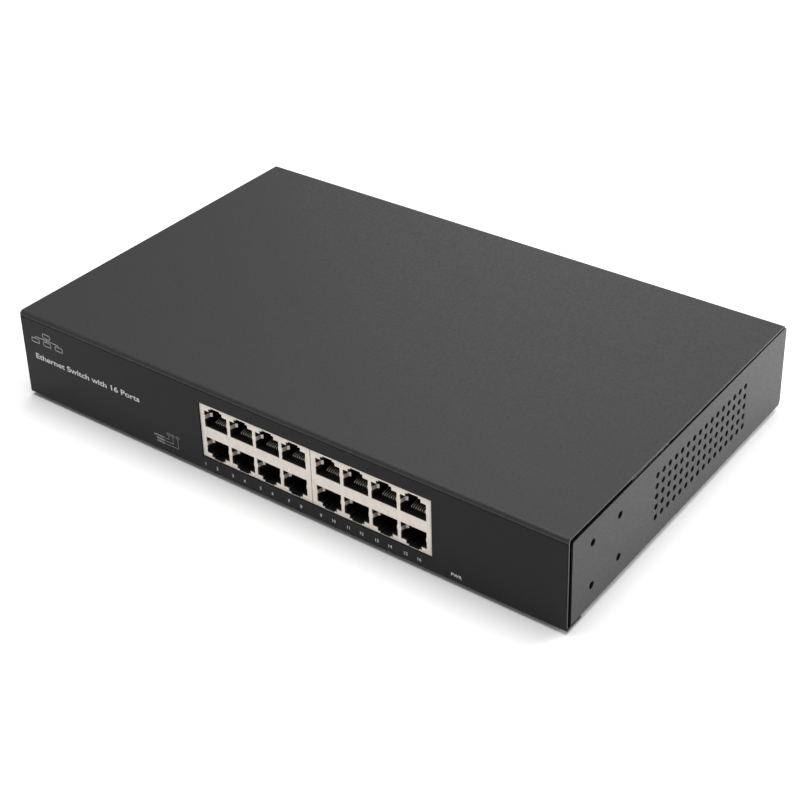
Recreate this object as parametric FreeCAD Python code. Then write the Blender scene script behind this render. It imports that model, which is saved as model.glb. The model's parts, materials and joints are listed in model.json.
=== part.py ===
"""Sixteen-port desktop network switch in a folded steel case, one rack unit high.

Frame: millimetres, +Z up, front face towards -Y, origin at the bottom centre of the whole object.
Each function below makes one sub-part as a list of solids, and NODES at the end names them all.
"""
import FreeCAD, Part
import math
import os
from FreeCAD import Vector

# ---------------------------------------------------------------- driving dimensions
CASE_W, CASE_D, CASE_H = 287.0, 180.0, 43.0     # folded case, outside
FOOT_DROP = 1.4                                 # the feet hold the case this far off the table
SHEET = 0.8                                     # steel sheet
BEND_IN = 1.0                                   # inside radius of the cover's upper folds
LOW_BEND_IN = 0.2                               # inside radius of the fold under the front panel
TRAY_BEND_IN = 0.2                              # inside radius of the base tray's folds
LABEL_T = 0.25                                  # front overlay film
INLET_PROUD = 1.9                               # the power inlet's flange stands out of the back
FIT = 0.1                                       # clearance between pieces that slide together

PORT_PITCH = 13.97                              # jack to jack, along the row
PORT_COLUMNS = 4                                # columns in one jack block
BLOCK_W, BLOCK_H, BLOCK_D = 59.3, 26.9, 25.4    # one stacked jack block, outside
BLOCK_GAP = 0.2                                 # between the two blocks
BANK_LEFT = -36.4                               # left side of the jack bank, from the case centre
BANK_ABOVE_CASE = 7.45                          # bottom of the jack bank, above the case bottom
SHIELD_T = 0.3                                  # jack shield plating

VENT_PITCH = 5.05
VENT_COLUMNS, VENT_ROWS = 16, 5
VENT_R = 1.4
VENT_MID_FROM_FRONT = 103.9
RACK_HOLE_R = 1.65                              # M4 tapping size
RACK_SPACING = 20.0                             # the four rack ear holes lie on a square
RACK_FIRST_FROM_FRONT = 17.1
RACK_LOW_ABOVE_CASE = 10.9

# ---------------------------------------------------------------- derived places
HALF_W = CASE_W / 2
DEPTH_ALL = LABEL_T + CASE_D + INLET_PROUD
FRONT_Y = -DEPTH_ALL / 2 + LABEL_T              # outer face of the steel front
BACK_Y = FRONT_Y + CASE_D                       # rear edges of the side walls
CASE_Z = FOOT_DROP                              # underside of the cover's front flange
TOP_Z = CASE_Z + CASE_H                         # top of the cover
BASE_Z = CASE_Z + SHEET                         # underside of the base plate
FLOOR_Z = BASE_Z + SHEET                        # upper side of the base plate
LID_Z = TOP_Z - SHEET                           # underside of the cover's top
BANK_W = 2 * BLOCK_W + BLOCK_GAP
BANK_Z = CASE_Z + BANK_ABOVE_CASE
BANK_TOP = BANK_Z + BLOCK_H
FACE_Y = FRONT_Y + 0.25                         # front face of the jack shields
BOARD_T = 1.6
BOARD_Z = BANK_Z - FIT - BOARD_T                # underside of the main board
BOARD_TOP = BOARD_Z + BOARD_T


# ---------------------------------------------------------------- shape helpers
def block(x0, x1, y0, y1, z0, z1):
    """A box between two corners."""
    return Part.makeBox(x1 - x0, y1 - y0, z1 - z0, Vector(x0, y0, z0))


def centred(x, y, z0, w, d, h):
    """A box of w by d by h, centred on x and y and standing on z0."""
    return block(x - w / 2, x + w / 2, y - d / 2, y + d / 2, z0, z0 + h)


def rod(x, y, z, r, length, axis=(0, 0, 1)):
    """A round bar that starts at a point and runs along axis."""
    return Part.makeCylinder(r, length, Vector(x, y, z), Vector(*axis))


def ring(x, y, z, r_out, r_in, length, axis=(0, 0, 1)):
    """A tube that starts at a point and runs along axis."""
    return rod(x, y, z, r_out, length, axis).cut(rod(x, y, z, r_in, length, axis))


def hexagon(x, y, z, across_flats, height):
    """A hexagonal prism that stands on z."""
    r = across_flats / math.sqrt(3)
    angles = [math.radians(60 * k) for k in range(7)]
    corners = [Vector(x + r * math.cos(a), y + r * math.sin(a), z) for a in angles]
    return Part.Face(Part.makePolygon(corners)).extrude(Vector(0, 0, height))


def prism(points, plane, start, length):
    """Extrudes a closed outline of (x, z) points along Y, (y, z) points along X, or (x, y) points along Z."""
    place = {"xz": lambda a, b: Vector(a, start, b),
             "yz": lambda a, b: Vector(start, a, b),
             "xy": lambda a, b: Vector(a, b, start)}[plane]
    along = {"xz": Vector(0, length, 0), "yz": Vector(length, 0, 0), "xy": Vector(0, 0, length)}[plane]
    corners = [place(a, b) for a, b in points]
    return Part.Face(Part.makePolygon(corners + corners[:1])).extrude(along)


def joined(shapes):
    """Touching shapes as one clean solid."""
    whole = shapes[0].fuse(list(shapes[1:])) if len(shapes) > 1 else shapes[0]
    whole = whole.removeSplitter()
    return whole.Solids[0] if len(whole.Solids) == 1 else whole


def without(shape, holes):
    """The shape with a list of holes cut out."""
    return joined([shape.cut(Part.makeCompound(holes))])


def square_edges(shape, axis_name):
    """The edges that run along one axis."""
    return [e for e in shape.Edges if abs(getattr(e.tangentAt(e.FirstParameter), axis_name)) > 0.9]


def folded(points, plane, start, length, bends):
    """A folded sheet round a mid-line of corner points, each a fold with its own inside radius."""
    def at(p):
        return Vector(p.x, start, p.y) if plane == "xz" else Vector(start, p.x, p.y)

    mid = [Vector(a, b, 0) for a, b in points]
    half = SHEET / 2
    edges = []
    ends = []
    for side in (1, -1):
        first_step = (mid[1] - mid[0]).normalize()
        last = mid[0] + Vector(-first_step.y, first_step.x, 0) * (side * half)
        ends.append(last)
        for i in range(1, len(mid) - 1):
            p = mid[i]
            into = (p - mid[i - 1]).normalize()
            out = (mid[i + 1] - p).normalize()
            left = 1 if into.cross(out).z > 0 else -1
            mid_radius = bends[i - 1] + half
            reach = mid_radius * math.tan(into.getAngle(out) / 2)
            centre = p - into * reach + Vector(-into.y, into.x, 0) * (left * mid_radius)
            first = p - into * reach + Vector(-into.y, into.x, 0) * (side * half)
            second = p + out * reach + Vector(-out.y, out.x, 0) * (side * half)
            middle = centre + (p - centre).normalize() * (mid_radius - left * side * half)
            edges.append(Part.LineSegment(at(last), at(first)).toShape())
            edges.append(Part.Arc(at(first), at(middle), at(second)).toShape())
            last = second
        last_step = (mid[-1] - mid[-2]).normalize()
        final = mid[-1] + Vector(-last_step.y, last_step.x, 0) * (side * half)
        edges.append(Part.LineSegment(at(last), at(final)).toShape())
        ends.append(final)
    edges.append(Part.LineSegment(at(ends[0]), at(ends[2])).toShape())
    edges.append(Part.LineSegment(at(ends[1]), at(ends[3])).toShape())
    outline = Part.Wire(Part.__sortEdges__(edges))
    along = Vector(0, length, 0) if plane == "xz" else Vector(length, 0, 0)
    return Part.Face(outline).extrude(along)


def lead(name, points, diameter):
    """A round lead: straight runs joined by tangent arcs, each as large as its two runs allow."""
    route = [Vector(*p) for p in points]
    edges = []
    radii = []
    last = route[0]
    for i in range(1, len(route) - 1):
        into = route[i] - route[i - 1]
        out = route[i + 1] - route[i]
        turn = into.getAngle(out)
        trim = 0.45 * min(into.Length, out.Length)
        radii.append(trim / math.tan(turn / 2))
        into.normalize()
        out.normalize()
        first = route[i] - into * trim
        second = route[i] + out * trim
        inward = (out - into).normalize()
        middle = route[i] + inward * (radii[-1] / math.cos(turn / 2) - radii[-1])
        edges.append(Part.LineSegment(last, first).toShape())
        edges.append(Part.Arc(first, middle, second).toShape())
        last = second
    edges.append(Part.LineSegment(last, route[-1]).toShape())
    path = Part.Wire(edges)
    section = Part.Wire(Part.makeCircle(diameter / 2, route[0], route[1] - route[0]))
    tube = path.makePipeShell([section], True, False)
    share = tube.Volume / (math.pi * diameter ** 2 / 4 * path.Length)
    print("%-12s %.0f mm, radii %s, volume over section times length %.4f"
          % (name, path.Length, " ".join("%.1f" % r for r in radii), share))
    return tube


def screw(x, y, z, axis, thread_r, thread_l, head_r, head_l, slot_w=0.8):
    """A cross-slotted pan head screw: the head stands on the point and faces along axis."""
    a = Vector(*axis)
    at = Vector(x, y, z)
    head = Part.makeCylinder(head_r, head_l, at, a)
    circles = [e for e in head.Edges if len(e.Vertexes) == 1]
    rim = [e for e in circles if abs((e.CenterOfMass - at).dot(a) - head_l) < 1e-6]
    head = head.makeFillet(head_l * 0.4, rim)
    u = a.cross(Vector(0.3, 0.5, 0.8)).normalize()
    v = a.cross(u)
    floor = at + a * (head_l * 0.45)
    reach = head_r * 0.62
    slots = []
    for along, across in ((u, v), (v, u)):
        corners = [floor + along * (i * reach) + across * (j * slot_w / 2)
                   for i, j in ((-1, -1), (1, -1), (1, 1), (-1, 1), (-1, -1))]
        slots.append(Part.Face(Part.makePolygon(corners)).extrude(a * head_l))
    return without(joined([head, Part.makeCylinder(thread_r, thread_l, at, a * -1)]), slots)


def board_screw(x, y, z):
    """Short screw that holds a board to a spacer."""
    return screw(x, y, z, (0, 0, 1), 1.25, 4.6, 2.6, 1.8)


def spacer(x, y, height):
    """Hexagonal threaded spacer that stands on the base plate."""
    return hexagon(x, y, FLOOR_Z, 5.0, height).cut(rod(x, y, FLOOR_Z, 1.3, height))


def board_header(x, y, z):
    """Open wafer header for a four-way plug."""
    return centred(x, y, z, 7.6, 12.6, 8.0).cut(centred(x, y, z + 1.4, 6.0, 11.0, 8.0))


# ---------------------------------------------------------------- case: base tray
WALL_GAP = 2.0                                  # shadow gap between the front panel and the side walls
WALL_FRONT = FRONT_Y + SHEET + WALL_GAP         # front edges of the side walls
TOP_GAP_FRONT, TOP_GAP_REAR = 2.2, 0.6          # shadow gap under the cover's sides, narrower at the rear
LIP = 9.0                                       # flanges of the rear wall, over the floor and under the cover
COVER_LIP_IN = 1.0                              # from the side walls' rear ends in to the cover's rear lip
COVER_BACK_Y = BACK_Y - COVER_LIP_IN
REAR_WALL_Y = COVER_BACK_Y - SHEET - FIT        # outer face of the rear wall, inside the cover's lip
LOW_CORNER_R, HIGH_CORNER_R = 3.5, 1.5          # rear corners of the side walls
FRONT_CORNER_R = 1.0                            # their upper front corners
INLET_X, INLET_Z = 100.0, 19.6
INLET_HOLE_W, INLET_HOLE_H = 28.4, 21.0
INLET_SCREW_SPACING = 40.0
EARTH_X, EARTH_Z = 60.0, 15.0
REAR_SCREW_X = (-110.0, 0.0, 120.0)
REAR_SCREW_Z = TOP_Z - 5.6
FLANGE_L = 10.5                                 # return flange of the front panel, under the base plate
FLANGE_SCREW_X = (-105.0, -55.0, 112.0)
FLANGE_SCREW_Y = FRONT_Y + 5.8
SCREW_R = 1.5
PILOT_R = SCREW_R + FIT


def inlet_screw_places():
    return [INLET_X - INLET_SCREW_SPACING / 2, INLET_X + INLET_SCREW_SPACING / 2]


def vent_bars():
    """The bars that punch the vent grid through both side walls at once."""
    first_y = FRONT_Y + VENT_MID_FROM_FRONT - VENT_PITCH * (VENT_COLUMNS - 1) / 2
    first_z = CASE_Z + CASE_H / 2 - VENT_PITCH * (VENT_ROWS - 1) / 2
    places = [(first_y + i * VENT_PITCH, first_z + j * VENT_PITCH)
              for i in range(VENT_COLUMNS) for j in range(VENT_ROWS)]
    return [rod(-HALF_W - 1, y, z, VENT_R, CASE_W + 2, (1, 0, 0)) for y, z in places]


def rack_places():
    """The (y, z) of the four rack ear holes in each side wall."""
    y0 = FRONT_Y + RACK_FIRST_FROM_FRONT
    z0 = CASE_Z + RACK_LOW_ABOVE_CASE
    return [(y0 + i * RACK_SPACING, z0 + j * RACK_SPACING) for i in (0, 1) for j in (0, 1)]


def rack_collars():
    """Extruded collars behind the rack ear holes, which give the threads their length."""
    middle = HALF_W - SHEET / 2
    collar_r = RACK_HOLE_R + 0.8
    collar_l = SHEET + 1.0
    return [ring(side * middle, y, z, collar_r, RACK_HOLE_R, collar_l, (-side, 0, 0))
            for side in (-1, 1) for y, z in rack_places()]


def side_corner_cutters():
    """What rounds the corners of both side walls, without their lips."""
    corners = [(BACK_Y, 1, BASE_Z, -1, LOW_CORNER_R),
               (BACK_Y, 1, LID_Z - TOP_GAP_REAR, 1, HIGH_CORNER_R),
               (WALL_FRONT, -1, LID_Z - TOP_GAP_FRONT, 1, FRONT_CORNER_R)]
    cutters = []
    for y, back, z, up, r in corners:
        near, far = sorted((y + back, y - back * r))
        low, high = sorted((z + up, z - up * r))
        corner = block(-HALF_W - 1, HALF_W + 1, near, far, low, high)
        corner = corner.cut(rod(-HALF_W - 1, y - back * r, z - up * r, r, CASE_W + 2, (1, 0, 0)))
        between = block(-HALF_W + SHEET, HALF_W - SHEET, near - 1, far + 1, low, high)
        cutters.append(corner.cut(between))
    return cutters


def tray_holes():
    """Openings of the rear wall and the screw holes of the base plate."""
    holes = [block(INLET_X - INLET_HOLE_W / 2, INLET_X + INLET_HOLE_W / 2, REAR_WALL_Y - 2, BACK_Y,
                   INLET_Z - INLET_HOLE_H / 2, INLET_Z + INLET_HOLE_H / 2)]
    holes += [rod(x, REAR_WALL_Y - 2, INLET_Z, PILOT_R, 4, (0, 1, 0)) for x in inlet_screw_places()]
    holes += [rod(x, REAR_WALL_Y - 2, REAR_SCREW_Z, PILOT_R, 4, (0, 1, 0)) for x in REAR_SCREW_X]
    holes.append(rod(EARTH_X, REAR_WALL_Y - 2, EARTH_Z, 2.0 + FIT, 4, (0, 1, 0)))
    holes += [rod(x, FLANGE_SCREW_Y, BASE_Z - 1, PILOT_R, 3) for x in FLANGE_SCREW_X]
    return holes


def base_tray():
    """Bottom, side walls with plain top edges, and the rear wall, folded from one sheet."""
    half = SHEET / 2
    wall_x = HALF_W - half
    low = BASE_Z + half
    high = LID_Z - TOP_GAP_REAR - half - 0.2
    trough = [(-wall_x, LID_Z), (-wall_x, low), (wall_x, low), (wall_x, LID_Z)]
    tray = folded(trough, "xz", WALL_FRONT, BACK_Y - WALL_FRONT, [TRAY_BEND_IN] * 2)
    slope = [(WALL_FRONT - 1, LID_Z + 1), (WALL_FRONT - 1, LID_Z - TOP_GAP_FRONT),
             (WALL_FRONT, LID_Z - TOP_GAP_FRONT), (BACK_Y, LID_Z - TOP_GAP_REAR),
             (BACK_Y + 1, LID_Z - TOP_GAP_REAR), (BACK_Y + 1, LID_Z + 1)]
    tray = tray.cut(prism(slope, "yz", -HALF_W - 1, CASE_W + 2))
    inner = HALF_W - SHEET
    rear_y = REAR_WALL_Y - half
    rear_fold = REAR_WALL_Y - SHEET - TRAY_BEND_IN
    tray = tray.cut(block(-inner, inner, rear_fold, BACK_Y + 1, BASE_Z - 1, LID_Z + 1))
    rear = [(rear_fold - LIP, low), (rear_y, low), (rear_y, high), (rear_y - LIP, high)]
    tray = tray.fuse(folded(rear, "yz", -inner - half, 2 * (inner + half), [TRAY_BEND_IN] * 2))
    rack_bars = [rod(-HALF_W - 1, y, z, RACK_HOLE_R, CASE_W + 2, (1, 0, 0)) for y, z in rack_places()]
    tray = tray.cut(Part.makeCompound(side_corner_cutters() + tray_holes()))
    tray = tray.cut(Part.makeCompound(vent_bars() + rack_bars))
    return [joined([tray] + rack_collars())]


# ---------------------------------------------------------------- case: cover, label, feet, screws
REAR_LIP = 9.6
COVER_SIDE_INSET = 0.15
BANK_CLEAR = 0.25                               # round the jack bank, in the front panel
LABEL_SIDE_INSET, LABEL_TOP_INSET = 0.4, 0.6
LAMP_ABOVE_CASE = 3.7
LAMP_FIRST = (-35.2, 27.4)                      # first port lamp under each jack block, along X
LAMP_STEP = (15.25, 14.15)                      # from one pair of lamps to the next, under each block
LAMP_PAIR = 6.5                                 # between the two lamps of a pair
POWER_LAMP_X = 94.0
LAMP_HOLE_R = 0.9
LAMP_Z = CASE_Z + LAMP_ABOVE_CASE


def column_x(bank, column):
    """Middle of a jack column, along X."""
    left = BANK_LEFT + bank * (BLOCK_W + BLOCK_GAP)
    return left + BLOCK_W / 2 + (column - (PORT_COLUMNS - 1) / 2) * PORT_PITCH


def columns():
    return [column_x(bank, column) for bank in (0, 1) for column in range(PORT_COLUMNS)]


def lamp_places():
    """X of the port lamps, in port order."""
    return [LAMP_FIRST[bank] + column * LAMP_STEP[bank] + k * LAMP_PAIR
            for bank in (0, 1) for column in range(PORT_COLUMNS) for k in (0, 1)]


def bank_window(y0, y1):
    """The block that cuts the jack bank's window."""
    c = BANK_CLEAR
    return block(BANK_LEFT - c, BANK_LEFT + BANK_W + c, y0, y1, BANK_Z - c, BANK_TOP + c)


def top_cover():
    """Top, front panel with its return flange, and rear lip, folded from one sheet."""
    half = SHEET / 2
    side = [(FRONT_Y + FLANGE_L, CASE_Z + half), (FRONT_Y + half, CASE_Z + half),
            (FRONT_Y + half, TOP_Z - half),
            (COVER_BACK_Y - half, TOP_Z - half), (COVER_BACK_Y - half, TOP_Z - REAR_LIP)]
    width = CASE_W - 2 * COVER_SIDE_INSET
    cover = folded(side, "yz", -width / 2, width, [LOW_BEND_IN, BEND_IN, BEND_IN])
    inner = HALF_W - SHEET - 2 * FIT
    cuts = [bank_window(FRONT_Y - 1, FRONT_Y + 3)]
    for x0, x1 in ((-HALF_W, -inner), (inner, HALF_W)):
        cuts.append(block(x0, x1, COVER_BACK_Y - SHEET - BEND_IN, BACK_Y, TOP_Z - REAR_LIP - 1, LID_Z))
    cuts += [rod(x, FRONT_Y - 1, LAMP_Z, LAMP_HOLE_R, 3, (0, 1, 0)) for x in lamp_places() + [POWER_LAMP_X]]
    cuts += [rod(x, COVER_BACK_Y - 2, REAR_SCREW_Z, PILOT_R, 4, (0, 1, 0)) for x in REAR_SCREW_X]
    cuts += [rod(x, FLANGE_SCREW_Y, CASE_Z - 1, PILOT_R, 3) for x in FLANGE_SCREW_X]
    return [without(cover, cuts)]


def front_label():
    """Printed overlay film on the front panel, cut out round the jack bank."""
    film = block(-HALF_W + LABEL_SIDE_INSET, HALF_W - LABEL_SIDE_INSET, FRONT_Y - LABEL_T, FRONT_Y,
                 CASE_Z + LOW_BEND_IN + SHEET, TOP_Z - BEND_IN - SHEET - LABEL_TOP_INSET)
    film = film.makeFillet(0.5, square_edges(film, "y"))
    return [film.cut(bank_window(FRONT_Y - 1, FRONT_Y + 1))]


FOOT_R, FOOT_INSET_X, FOOT_INSET_Y = 6.0, 22.0, 24.0


def rubber_feet():
    """Four round stick-on feet, tapered towards the table."""
    return [Part.makeCone(FOOT_R - 0.5, FOOT_R, BASE_Z, Vector(x, y, 0))
            for x in (-HALF_W + FOOT_INSET_X, HALF_W - FOOT_INSET_X)
            for y in (FRONT_Y + FOOT_INSET_Y, BACK_Y - FOOT_INSET_Y)]


def rear_cover_screws():
    return [screw(x, COVER_BACK_Y, REAR_SCREW_Z, (0, 1, 0), SCREW_R, 5.0, 2.8, 1.9) for x in REAR_SCREW_X]


def flange_screws():
    """Flat screws that hold the front panel's return flange to the base plate."""
    return [screw(x, FLANGE_SCREW_Y, CASE_Z, (0, 0, -1), SCREW_R, 3.2, 2.9, 0.8, 0.7) for x in FLANGE_SCREW_X]


# ---------------------------------------------------------------- stacked jack blocks
UPPER_FLOOR, LOWER_CEILING = 15.75, 10.45       # contact sides of the two rows, above the block's bottom
MOUTH_HALF, MOUTH_H = 6.2, 8.0                  # opening in the shield: half width, height of its wide part
STEP1_HALF, STEP1_TOP = 3.7, 9.5                # first step of the latch notch
STEP2_HALF, STEP2_TOP = 2.5, 10.2               # last step
CAVITY_IN = 0.25                                # the moulded cavity is this much smaller, all round
CAVITY_D, NOTCH_D = 13.5, 11.0
FINGER_RANGE = {1: (3.6, 5.6), -1: (2.4, 4.4)}  # ground finger, from the contact side, by row
FINGER_D, FINGER_LEAN, FINGER_T = 3.4, 1.5, 0.25
CONTACTS = 8
CONTACT_PITCH, CONTACT_W, CONTACT_T = 1.016, 0.3, 0.3
CONTACT_FRONT, CONTACT_REAR, CONTACT_RISE = 3.8, 12.6, 2.2


def jack_rows():
    """Upper and lower row: height of the contact side, and the latch's direction."""
    return [(BANK_Z + UPPER_FLOOR, 1), (BANK_Z + LOWER_CEILING, -1)]


def mouth(x, z, way, smaller, y, depth):
    """The stepped socket outline, with its latch notch towards way."""
    half_line = [(MOUTH_HALF, 0), (MOUTH_HALF, MOUTH_H), (STEP1_HALF, MOUTH_H), (STEP1_HALF, STEP1_TOP),
                 (STEP2_HALF, STEP1_TOP), (STEP2_HALF, STEP2_TOP)]
    lifts = [smaller] + [-smaller] * 5
    half_line = [(a - smaller, b + lift) for (a, b), lift in zip(half_line, lifts)]
    points = [(x + a, z + way * b) for a, b in half_line]
    points += [(x - a, z + way * b) for a, b in reversed(half_line)]
    return prism(points, "xz", y, depth)


def ground_finger(x, z, way, side):
    """Spring finger that leans from the opening's side edge into the socket and turns in at its tip."""
    t, lean, d = FINGER_T, FINGER_LEAN, FINGER_D
    low, high = sorted(z + way * reach for reach in FINGER_RANGE[way])
    knee = 0.4 * lean
    line = [(-0.3, 0), (-0.3, SHIELD_T), (0, SHIELD_T), (knee, d - 0.7), (lean, d), (lean + t, d - t),
            (knee + t, d - 0.7 - t), (t, 0)]
    points = [(x + side * (MOUTH_HALF - inward), FACE_Y + depth) for inward, depth in line]
    return prism(points, "xy", low, high - low)


def jack_shield(bank):
    """Plated steel shield with eight stepped openings and two ground fingers in each."""
    x0 = BANK_LEFT + bank * (BLOCK_W + BLOCK_GAP)
    t = SHIELD_T
    shell = block(x0, x0 + BLOCK_W, FACE_Y, FACE_Y + BLOCK_D, BANK_Z, BANK_TOP)
    inside = block(x0 + t, x0 + BLOCK_W - t, FACE_Y + t, FACE_Y + BLOCK_D - t, BANK_Z - 1, BANK_TOP - t)
    shell = shell.cut(inside)
    sockets = [(column_x(bank, c), z, way) for z, way in jack_rows() for c in range(PORT_COLUMNS)]
    shell = without(shell, [mouth(x, z, way, 0, FACE_Y - 1, 1 + t) for x, z, way in sockets])
    return [joined([shell] + [ground_finger(x, z, way, side) for x, z, way in sockets for side in (-1, 1)])]


def jack_housing(bank):
    """Moulded insert with eight plug cavities."""
    x0 = BANK_LEFT + bank * (BLOCK_W + BLOCK_GAP)
    inset = SHIELD_T + 0.05
    body = block(x0 + inset, x0 + BLOCK_W - inset, FACE_Y + inset, FACE_Y + BLOCK_D - inset,
                 BANK_Z, BANK_TOP - inset)
    cuts = []
    for z, way in jack_rows():
        for c in range(PORT_COLUMNS):
            x = column_x(bank, c)
            cuts.append(mouth(x, z, way, CAVITY_IN, FACE_Y - 1, 1 + NOTCH_D))
            low, high = sorted((z + way * CAVITY_IN, z + way * (MOUTH_H - CAVITY_IN)))
            half = MOUTH_HALF - CAVITY_IN
            cuts.append(block(x - half, x + half, FACE_Y - 1, FACE_Y + CAVITY_D, low, high))
            finger_low, finger_high = FINGER_RANGE[way]
            low, high = sorted((z + way * (finger_low - 0.3), z + way * (finger_high + 0.3)))
            cuts.append(block(x - half - 0.5, x + half + 0.5, FACE_Y - 1, FACE_Y + 2.0, low, high))
    return [without(body, cuts)]


def jack_contact(x, z, way):
    """One contact wire: it comes up through the cavity floor, bends over and slants back to its tip."""
    lift = 1.05 * CONTACT_T
    floor = CAVITY_IN + 0.05
    near, far = CONTACT_FRONT, CONTACT_FRONT + CONTACT_T
    line = [(near, floor), (far, floor), (far, floor + 0.4), (CONTACT_REAR, floor + CONTACT_RISE),
            (CONTACT_REAR, floor + CONTACT_RISE + lift), (far, floor + 0.4 + lift), (near, floor + 0.45)]
    points = [(FACE_Y + a, z + way * b) for a, b in line]
    return prism(points, "yz", x - CONTACT_W / 2, CONTACT_W)


def jack_contacts(bank):
    """Plated spring contacts, eight to a jack."""
    middle = (CONTACTS - 1) / 2
    return [jack_contact(column_x(bank, c) + (k - middle) * CONTACT_PITCH, z, way)
            for z, way in jack_rows() for c in range(PORT_COLUMNS) for k in range(CONTACTS)]


# ---------------------------------------------------------------- main board and what it carries
MAIN_X0, MAIN_X1 = -134.0, 83.6
TONGUE_X1, TONGUE_D = 99.0, 14.0                # tongue that carries the power lamp
MAIN_Y0 = FRONT_Y + SHEET + 1.2
MAIN_D = 118.0
MAIN_FIXINGS = [(x, MAIN_Y0 + y) for x in (-128.0, -48.0, 30.0) for y in (50.0, 112.0)]
MAIN_FIXINGS += [(-128.0, MAIN_Y0 + 8.0)]
CHIPS = [(-20.0, 72.0, 20.0), (25.0, 72.0, 14.0), (58.0, 72.0, 14.0)]   # x, distance behind the edge, side
CHIP_T, PAD_T = 1.4, 0.5
HEADER_X, HEADER_Y = 77.8, MAIN_Y0 + 56.0


def main_board():
    body = block(MAIN_X0, MAIN_X1, MAIN_Y0, MAIN_Y0 + MAIN_D, BOARD_Z, BOARD_TOP)
    tongue = block(MAIN_X1 - 1, TONGUE_X1, MAIN_Y0, MAIN_Y0 + TONGUE_D, BOARD_Z, BOARD_TOP)
    return [without(joined([body, tongue]), [rod(x, y, BOARD_Z, PILOT_R, BOARD_T) for x, y in MAIN_FIXINGS])]


def board_standoffs():
    return [spacer(x, y, BOARD_Z - FLOOR_Z) for x, y in MAIN_FIXINGS]


def board_screws():
    return [board_screw(x, y, BOARD_TOP) for x, y in MAIN_FIXINGS]


def isolation_transformers():
    """Two-port transformer modules behind the jack blocks."""
    return [centred(x, MAIN_Y0 + 34.0, BOARD_TOP, 11.4, 16.8, 5.6) for x in columns()]


def switch_chips():
    return [centred(x, MAIN_Y0 + y, BOARD_TOP, side, side, CHIP_T) for x, y, side in CHIPS]


def thermal_pads():
    return [centred(x, MAIN_Y0 + y, BOARD_TOP + CHIP_T, side - 2, side - 2, PAD_T) for x, y, side in CHIPS]


def heat_sinks():
    """Extruded aluminium sinks with straight fins."""
    base_t, fin_t, fin_h, fins = 2.0, 1.0, 9.0, 7
    z = BOARD_TOP + CHIP_T + PAD_T
    sinks = []
    for x, y, side in CHIPS:
        width = side + 8
        step = (width - fin_t) / (fins - 1)
        first = x - width / 2 + fin_t / 2
        places = [first + k * step for k in range(fins)]
        blades = [centred(fin_x, MAIN_Y0 + y, z + base_t, fin_t, width, fin_h) for fin_x in places]
        sinks.append(joined([centred(x, MAIN_Y0 + y, z, width, width, base_t)] + blades))
    return sinks


def board_capacitors():
    """Electrolytic capacitors of the board's power stage."""
    places = [(-110.0, 60.0), (-98.0, 60.0), (-110.0, 76.0), (-98.0, 76.0), (72.0, 98.0), (-62.0, 92.0)]
    return [rod(x, MAIN_Y0 + y, BOARD_TOP, 4.0, 11.0) for x, y in places]


def power_inductors():
    """Square shielded inductors with a round core on top."""
    return [joined([centred(x, MAIN_Y0 + 96.0, BOARD_TOP, 10.0, 10.0, 4.0),
                    rod(x, MAIN_Y0 + 96.0, BOARD_TOP + 4.0, 3.6, 0.6)]) for x in (-110.0, -95.0)]


def crystals():
    """Oval metal crystal cans."""
    cans = [centred(x, MAIN_Y0 + 98.0, BOARD_TOP, 11.0, 4.6, 3.6) for x in (-22.0, 45.0)]
    return [can.makeFillet(2.2, square_edges(can, "z")) for can in cans]


def memory_chip():
    return [centred(-48.0, MAIN_Y0 + 72.0, BOARD_TOP, 5.0, 6.0, 1.7)]


def supply_headers():
    """Wafer headers on the main board and on the supply board."""
    return [board_header(HEADER_X, HEADER_Y, BOARD_TOP), board_header(PSU_HEADER_X, HEADER_Y, PSU_TOP)]


PLUG_H = 9.5


def supply_plugs():
    """Four-way plugs that sit in the two headers."""
    return [centred(x, HEADER_Y, z + 1.5, 5.6, 10.6, PLUG_H)
            for x, z in ((HEADER_X, BOARD_TOP), (PSU_HEADER_X, PSU_TOP))]


def side_lamp(x):
    """Side-looking lamp under the board's front edge, with a small lens towards the front."""
    body = block(x - 1.5, x + 1.5, MAIN_Y0 + 0.6, MAIN_Y0 + 2.2, LAMP_Z - 1.0, BOARD_Z)
    return joined([body, rod(x, MAIN_Y0 - 0.3, LAMP_Z, 0.7, 1.2, (0, 1, 0))])


def port_lamps():
    return [side_lamp(x) for x in lamp_places()]


def power_lamp():
    return [side_lamp(POWER_LAMP_X)]


# ---------------------------------------------------------------- power supply
PSU_X0, PSU_X1 = 88.0, 138.0
PSU_Y0, PSU_Y1 = FRONT_Y + 44.0, FRONT_Y + 138.0
PSU_RISE = 5.0
PSU_Z = FLOOR_Z + PSU_RISE
PSU_TOP = PSU_Z + BOARD_T
PSU_FIXINGS = [(x, y) for x in (PSU_X0 + 4.0, PSU_X1 - 4.0) for y in (PSU_Y0 + 4.0, PSU_Y1 - 4.0)]
PSU_HEADER_X = 93.6
MAINS_X, MAINS_Y = 102.0, PSU_Y1 - 5.0
HEAT_PLATE_X = 131.0


def psu_board():
    body = block(PSU_X0, PSU_X1, PSU_Y0, PSU_Y1, PSU_Z, PSU_TOP)
    return [without(body, [rod(x, y, PSU_Z, PILOT_R, BOARD_T) for x, y in PSU_FIXINGS])]


def psu_insulator():
    """Insulating film under the supply board, open round the spacers."""
    film = block(PSU_X0 - 1, PSU_X1 + 1, PSU_Y0 - 1, PSU_Y1 + 1, FLOOR_Z + 0.1, FLOOR_Z + 0.4)
    return [without(film, [rod(x, y, FLOOR_Z, 3.4, 1) for x, y in PSU_FIXINGS])]


def psu_standoffs():
    return [spacer(x, y, PSU_RISE) for x, y in PSU_FIXINGS]


def psu_screws():
    return [board_screw(x, y, PSU_TOP) for x, y in PSU_FIXINGS]


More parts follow.
